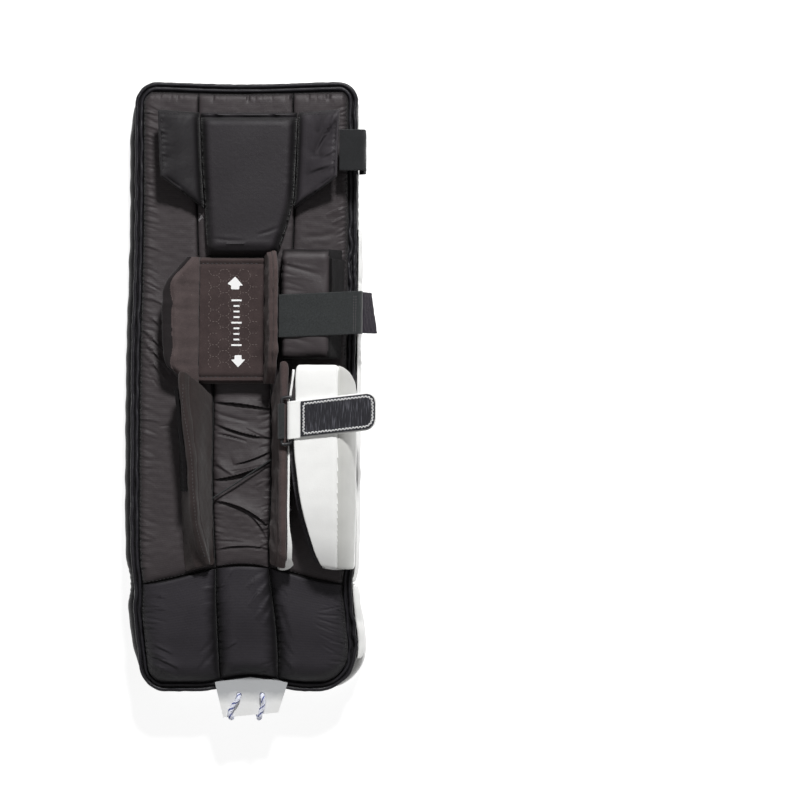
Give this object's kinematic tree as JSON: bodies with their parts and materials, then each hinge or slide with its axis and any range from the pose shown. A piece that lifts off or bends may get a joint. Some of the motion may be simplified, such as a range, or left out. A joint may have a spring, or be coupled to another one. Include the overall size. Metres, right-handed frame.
{
  "type": "ice hockey goalie leg pad",
  "caption": "Goalie leg pad for the left leg, lying on its face: padded liner, knee cradle, calf wraps, white calf guard, straps and a laced toe bridge.",
  "frame": {"origin": "middle of the pad's bounding box, on the floor that its front face rests on", "axes": "+Y towards the thigh end, +X towards the inner side of the leg, +Z from the front face to the leg side"},
  "size_m": [0.2968, 0.7424, 0.1433],
  "materials": {
    "white_leather": "smooth coated synthetic leather",
    "black_gusset": "coated nylon, slightly glossy",
    "liner_nylon": "fine woven nylon with a soft sheen",
    "brown_suede": "brushed micro-suede, embossed on the knee cradle",
    "grey_elastic": "ribbed woven elastic",
    "hook_and_loop": "fuzzy loop and ribbed hook tape",
    "black_plastic": "moulded, semi-gloss",
    "rivet_metal": "dulled",
    "white_lace": "waxed woven lace with blue flecks"
  },
  "bodies": {
    "root": {"front_shell": "white_leather", "medial_side_panel": "white_leather", "boot_side_panel": "white_leather", "calf_guard": "white_leather", "calf_strap": "white_leather", "calf_wrap_plate": "white_leather", "toe_bridge": "white_leather", "core": "black_gusset", "lateral_roll": "black_gusset", "rim_piping_outer": "black_gusset", "rim_piping_inner": "black_gusset", "calf_guard_lining": "black_gusset", "liner_lateral": "liner_nylon", "liner_centre": "liner_nylon", "liner_medial": "liner_nylon", "boot_liner_lateral": "liner_nylon", "boot_liner_centre": "liner_nylon", "boot_liner_medial": "liner_nylon", "thigh_pad": "liner_nylon", "thigh_wing_lateral": "liner_nylon", "thigh_wing_medial": "liner_nylon", "knee_block": "liner_nylon", "knee_cradle_pad": "brown_suede", "knee_cradle_wing_lateral": "brown_suede", "knee_cradle_wing_medial": "brown_suede", "calf_wrap_lateral": "brown_suede", "calf_wrap_medial": "brown_suede", "thigh_strap": "grey_elastic", "knee_strap": "grey_elastic", "calf_strap_elastic": "grey_elastic", "calf_cord": "grey_elastic", "knee_block_loop_patch": "hook_and_loop", "calf_wrap_loop_patch": "hook_and_loop", "calf_strap_hook_pad": "hook_and_loop", "knee_strap_tab": "hook_and_loop", "calf_strap_keeper": "black_plastic", "calf_wrap_rivet": "rivet_metal", "toe_lace": "white_lace"}
  },
  "joints": []
}
